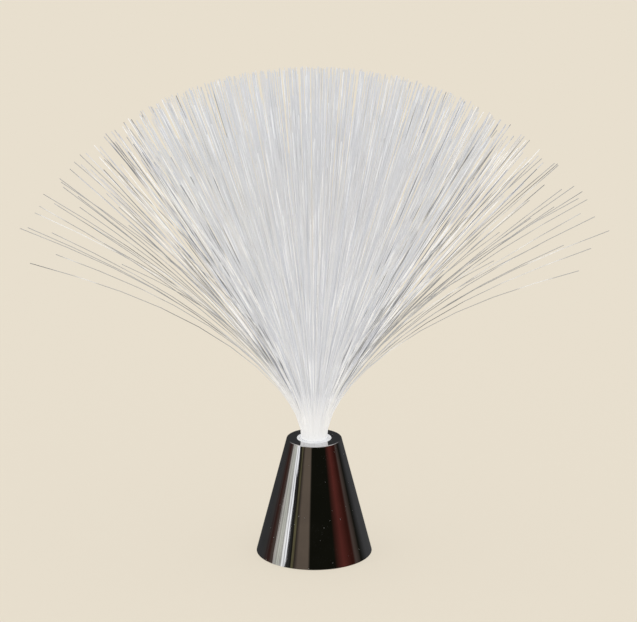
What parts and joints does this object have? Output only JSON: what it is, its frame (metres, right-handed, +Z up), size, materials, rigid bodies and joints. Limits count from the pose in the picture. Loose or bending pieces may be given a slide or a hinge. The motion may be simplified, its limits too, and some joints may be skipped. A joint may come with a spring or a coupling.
{
  "type": "fibre optic lamp",
  "caption": "Battery table lamp: mirror-finished conical casing with a plug-in fan-shaped spray of clear fibres, hinged battery door and slide switch underneath.",
  "frame": {"origin": "on the table, under the middle of the lamp, at the bottom of the feet", "axes": "+Z up, +X to the right along the wider way of the spray and along the cells, -Y to the front"},
  "size_m": [0.4049, 0.3299, 0.3393],
  "materials": {
    "mirror_shell": "mirror plated",
    "white_plastic": "translucent, smooth",
    "fibre": "clear, polished",
    "screw_steel": "zinc plated",
    "contact_metal": "nickel plated",
    "board": "lacquered",
    "red_lens": "clear tinted",
    "green_lens": "clear tinted",
    "blue_lens": "clear tinted",
    "black_epoxy": "moulded",
    "black_plastic": "fine moulded texture",
    "rubber": "matte",
    "cell_wrap": "gloss wrap",
    "knob_plastic": "moulded",
    "red_insulation": "smooth",
    "black_insulation": "smooth"
  },
  "bodies": {
    "base": {"casing": "mirror_shell", "light_holder": "white_plastic", "holder_screws": "screw_steel", "light_board": "board", "led_red": "red_lens", "led_green": "green_lens", "led_blue": "blue_lens", "control_chip": "black_epoxy", "resistors": "black_epoxy", "board_screws": "screw_steel", "base_plate": "black_plastic", "plate_screws": "screw_steel", "feet": "rubber", "cell_1": "cell_wrap", "cell_2": "cell_wrap", "cell_3": "cell_wrap", "contact_positive": "contact_metal", "contact_negative": "contact_metal", "contact_link_front": "contact_metal", "contact_link_rear": "contact_metal", "contact_spring_1": "contact_metal", "contact_spring_2": "contact_metal", "contact_spring_3": "contact_metal", "switch_can": "contact_metal", "switch_screws": "screw_steel", "wire_cell_to_switch": "red_insulation", "wire_switch_to_board": "red_insulation", "wire_board_to_cell": "black_insulation"},
    "spray": {"fibre_ferrule": "white_plastic", "fibre_spray": "fibre"},
    "door": {"battery_door": "black_plastic"},
    "knob": {"switch_knob": "knob_plastic"}
  },
  "joints": [
    {"name": "spray_lift", "type": "slide", "parent": "base", "child": "spray", "axis": [0, 0, 1], "range_m": [0, 0.025]},
    {"name": "door_hinge", "type": "hinge", "parent": "base", "child": "door", "pos_m": [-0.02355, 0, 0.0024], "axis": [0, 1, 0], "range_deg": [0, 85]},
    {"name": "switch_slide", "type": "slide", "parent": "base", "child": "knob", "axis": [1, 0, 0], "range_m": [-0.0025, 0]}
  ]
}
